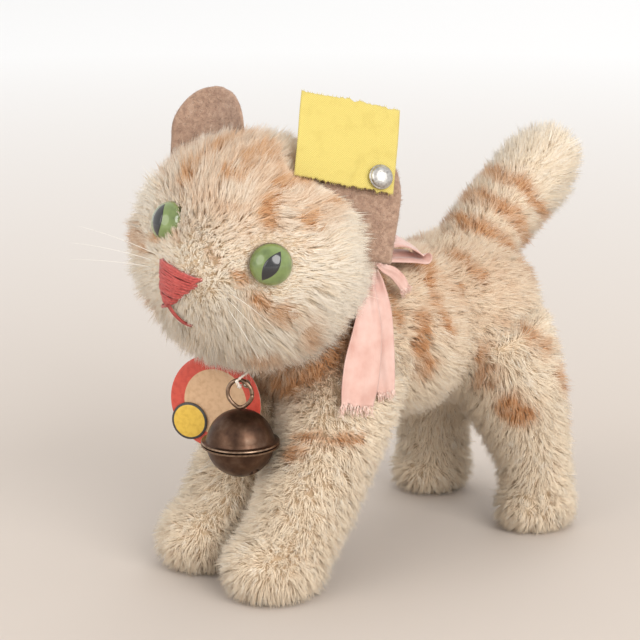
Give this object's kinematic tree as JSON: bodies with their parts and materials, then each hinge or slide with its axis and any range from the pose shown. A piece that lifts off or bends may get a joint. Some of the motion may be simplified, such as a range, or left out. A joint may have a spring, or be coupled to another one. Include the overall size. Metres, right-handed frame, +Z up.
{
  "type": "plush cat",
  "caption": "Small standing mohair plush cat on stiff legs, with a swivelling head, felt ears, upright tail, neck ribbon, jingle bell and round card tag.",
  "frame": {"origin": "middle of the footprint of the whole cat, whiskers and tail included, on the surface that it stands on", "axes": "+Z up, the cat faces -Y, +X is the cat's left"},
  "size_m": [0.0522, 0.1184, 0.0985],
  "materials": {
    "mohair": "cream mohair pile with orange-brown airbrushed stripes",
    "wool_filling": "packed filling, matte",
    "felt": "pressed wool felt, matte",
    "green_glass": "polished, painted behind with a black slit pupil",
    "steel": "plain wire",
    "nickel_button": "nickel plated, lightly scratched",
    "coral_cotton": "satin-stitched embroidery thread",
    "clear_thread": "stiff clear thread",
    "pink_satin": "satin ribbon, creased, frayed ends",
    "yellow_woven": "woven label ribbon",
    "dark_brass": "dark brown patina, semi-gloss",
    "white_thread": "twisted cotton",
    "printed_card": "printed card, plain red rim and tan middle",
    "yellow_card": "printed card, plain yellow",
    "fibre_board": "pressed fibre board"
  },
  "bodies": {
    "trunk": {"body_side_left": "mohair", "body_side_right": "mohair", "belly_gusset": "mohair", "body_stuffing": "wool_filling", "neck_disc_body": "fibre_board", "neck_cotter_pin": "steel", "tail_cover": "mohair", "tail_stuffing": "wool_filling", "ribbon_band": "pink_satin", "ribbon_knot": "pink_satin", "ribbon_loop_rear": "pink_satin", "ribbon_tail_front": "pink_satin", "ribbon_tail_under": "pink_satin", "ribbon_tail_rear": "pink_satin", "chest_tag_thread": "white_thread"},
    "head": {"head_centre_gusset": "mohair", "head_cover_left": "mohair", "head_cover_right": "mohair", "head_stuffing": "wool_filling", "ear_left": "felt", "ear_right": "felt", "eye_glass_left": "green_glass", "eye_glass_right": "green_glass", "eye_shank_left": "steel", "eye_shank_right": "steel", "nose_stitching": "coral_cotton", "mouth_stitching": "coral_cotton", "whisker_left_1": "clear_thread", "whisker_left_2": "clear_thread", "whisker_left_3": "clear_thread", "whisker_right_1": "clear_thread", "whisker_right_2": "clear_thread", "whisker_right_3": "clear_thread", "ear_button": "nickel_button", "ear_button_backing": "steel", "neck_disc_head": "fibre_board"},
    "ear_flag": {"ear_flag": "yellow_woven"},
    "bell_thread": {"bell_thread": "white_thread"},
    "bell": {"bell_upper_shell": "dark_brass", "bell_lower_shell": "dark_brass", "bell_ring": "dark_brass"},
    "bell_pellet": {"bell_pellet": "steel"},
    "chest_tag": {"chest_tag_disc": "printed_card", "chest_tag_seal": "yellow_card"}
  },
  "joints": [
    {"name": "head_swivel", "type": "hinge", "parent": "trunk", "child": "head", "pos_m": [-0.00359, -0.01414, 0.05441], "axis": [0, -0.7071, 0.7071], "continuous": true},
    {"name": "flag_turn", "type": "hinge", "parent": "head", "child": "ear_flag", "pos_m": [0.01541, -0.00993, 0.0822], "axis": [0.8853, -0.3071, 0.3491], "range_deg": [-80, 0]},
    {"name": "thread_swing", "type": "hinge", "parent": "trunk", "child": "bell_thread", "pos_m": [0.00061, -0.02393, 0.0445], "axis": [1, 0, 0], "range_deg": [-18, 0]},
    {"name": "bell_swing", "type": "hinge", "parent": "bell_thread", "child": "bell", "pos_m": [0.00142, -0.03373, 0.0428], "axis": [1, 0, 0], "range_deg": [-50, 0]},
    {"name": "pellet_roll", "type": "hinge", "parent": "bell", "child": "bell_pellet", "pos_m": [0.00142, -0.03373, 0.0304], "axis": [1, 0, 0], "range_deg": [-35, 35]},
    {"name": "tag_swing", "type": "hinge", "parent": "trunk", "child": "chest_tag", "pos_m": [-0.00485, -0.02701, 0.03981], "axis": [0.5003, -0.8656, 0.02], "range_deg": [-20, 20]}
  ]
}
